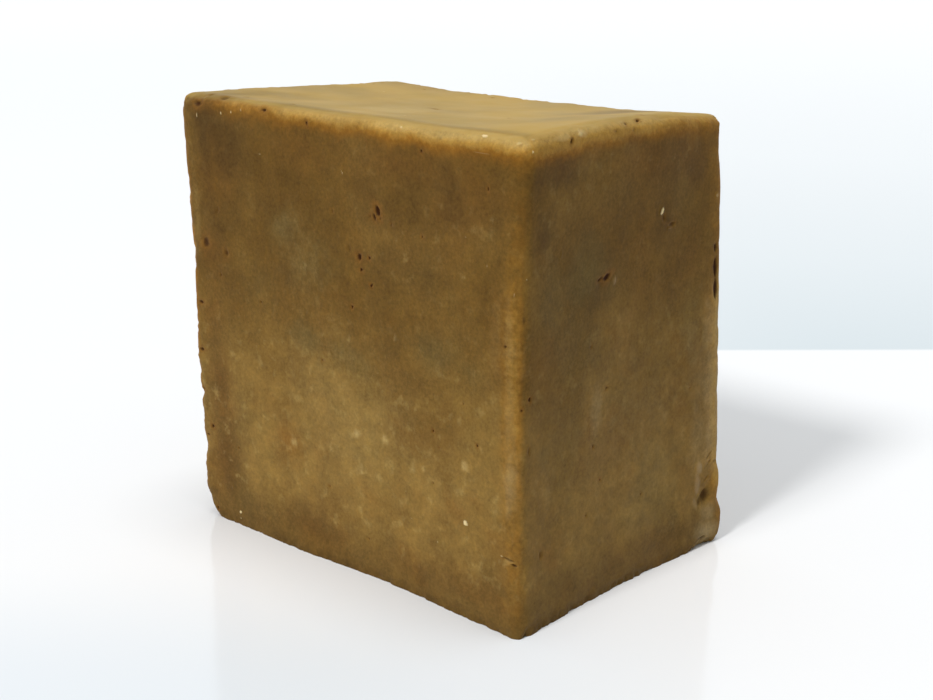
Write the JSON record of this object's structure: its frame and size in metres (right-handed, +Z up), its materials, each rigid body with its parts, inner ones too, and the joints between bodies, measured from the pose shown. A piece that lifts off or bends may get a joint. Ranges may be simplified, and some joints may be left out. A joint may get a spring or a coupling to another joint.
{
  "type": "bar of soap",
  "caption": "Plain olive-brown block of hand-cut natural soap, nearly square on its broad face, with hollow faces and worn, rounded edges, standing on its flat base.",
  "frame": {"origin": "centre of the bounding box at the flat base on which the bar stands", "axes": "+Z up, +X along the broad front face to the narrow face, so that the broad front face looks along -Y and the narrow face along +X"},
  "size_m": [0.0694, 0.0478, 0.0674],
  "materials": {
    "soap": "dull waxy soap, olive brown, paler and more golden on the worn edges"
  },
  "bodies": {
    "root": {"soap_bar": "soap"}
  },
  "joints": []
}
